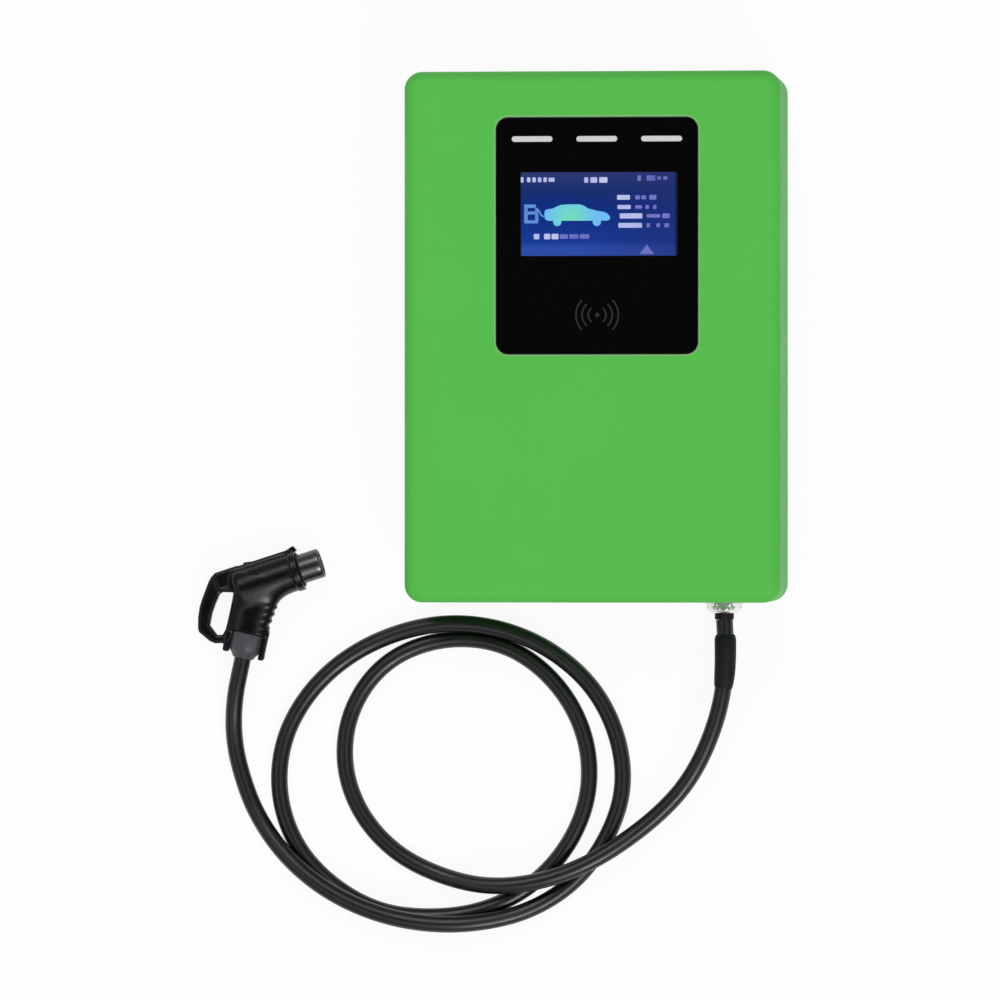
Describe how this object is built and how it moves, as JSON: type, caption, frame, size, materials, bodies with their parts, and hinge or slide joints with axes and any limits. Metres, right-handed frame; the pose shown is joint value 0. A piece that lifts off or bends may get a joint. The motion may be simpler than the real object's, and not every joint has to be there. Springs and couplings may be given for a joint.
{
  "type": "ev charging station",
  "caption": "Wall-mounted car charging station: a rounded cabinet with a display window and light bars, and a long cable in loose loops that ends in a pistol-grip connector.",
  "frame": {"origin": "middle of the four wall bolts, on the wall plane at the back of the wall bracket", "axes": "+X to the right, +Y up the wall, +Z out from the wall; the station is stored lying on its back with its cable and connector beside it on the same plane"},
  "size_m": [0.8768, 1.267, 0.22],
  "materials": {
    "green_cover": "satin",
    "zinc_steel": "satin",
    "chassis_paint": "satin",
    "black_rubber": "matte",
    "cable_jacket": "satin",
    "window_black": "gloss",
    "tape": "matte",
    "screen": "gloss",
    "screen_case": "satin",
    "opal": "satin",
    "circuit_board": "satin",
    "carrier_grey": "matte",
    "device_grey": "satin",
    "toggle_black": "satin",
    "brass": "satin",
    "nickel": "satin",
    "vent_black": "matte",
    "gun_black": "satin",
    "nozzle_black": "gloss",
    "gland_grey": "satin"
  },
  "bodies": {
    "station": {"front_cover": "green_cover", "wall_bracket": "zinc_steel", "mounting_plate": "zinc_steel", "device_rail": "zinc_steel", "supply_rail": "zinc_steel", "terminal_rail": "zinc_steel", "stud_nuts": "zinc_steel", "plate_standoffs": "zinc_steel", "plate_screws": "zinc_steel", "cover_screws": "zinc_steel", "carrier_screws": "zinc_steel", "housing_screws": "zinc_steel", "nozzle_screw": "zinc_steel", "latch_pin": "zinc_steel", "latch_spring": "zinc_steel", "board_posts": "zinc_steel", "rear_chassis": "chassis_paint", "cover_seal": "black_rubber", "gland_insert": "black_rubber", "supply_grommet": "black_rubber", "nozzle_seal": "black_rubber", "gland_washer": "black_rubber", "cable_sleeve": "black_rubber", "charging_cable": "cable_jacket", "cable_tail": "cable_jacket", "display_window": "window_black", "window_tape": "tape", "lcd_screen": "screen", "lcd_module": "screen_case", "light_guide_left": "opal", "light_guide_middle": "opal", "light_guide_right": "opal", "led_board": "circuit_board", "reader_board": "circuit_board", "controller_board": "circuit_board", "control_board": "circuit_board", "display_carrier": "carrier_grey", "surge_arrester": "device_grey", "ground_fault_relay": "device_grey", "energy_meter": "device_grey", "main_breaker": "device_grey", "power_contactor": "device_grey", "terminal_block": "device_grey", "auxiliary_supply": "device_grey", "current_sensor": "device_grey", "earth_bar": "brass", "contact_sockets": "brass", "gland_body": "nickel", "gland_locknut": "nickel", "gland_cap": "nickel", "breather_plug": "vent_black", "housing_upper": "gun_black", "housing_lower": "gun_black", "connector_nozzle": "nozzle_black", "contact_carrier": "nozzle_black", "gun_gland": "gland_grey"},
    "lever": {"latch_lever": "gun_black"},
    "toggle": {"breaker_toggle": "toggle_black"}
  },
  "joints": [
    {"name": "latch_lever", "type": "hinge", "parent": "station", "child": "lever", "pos_m": [-0.49217, -0.32802, 0.031], "axis": [0, 0, 1], "range_deg": [0, 6], "stiffness_Nm_per_rad": 0.5, "springref_deg": -8.59},
    {"name": "breaker_toggle", "type": "hinge", "parent": "station", "child": "toggle", "pos_m": [-0.11, 0.02, 0.0935], "axis": [1, 0, 0], "range_deg": [0, 80]}
  ]
}
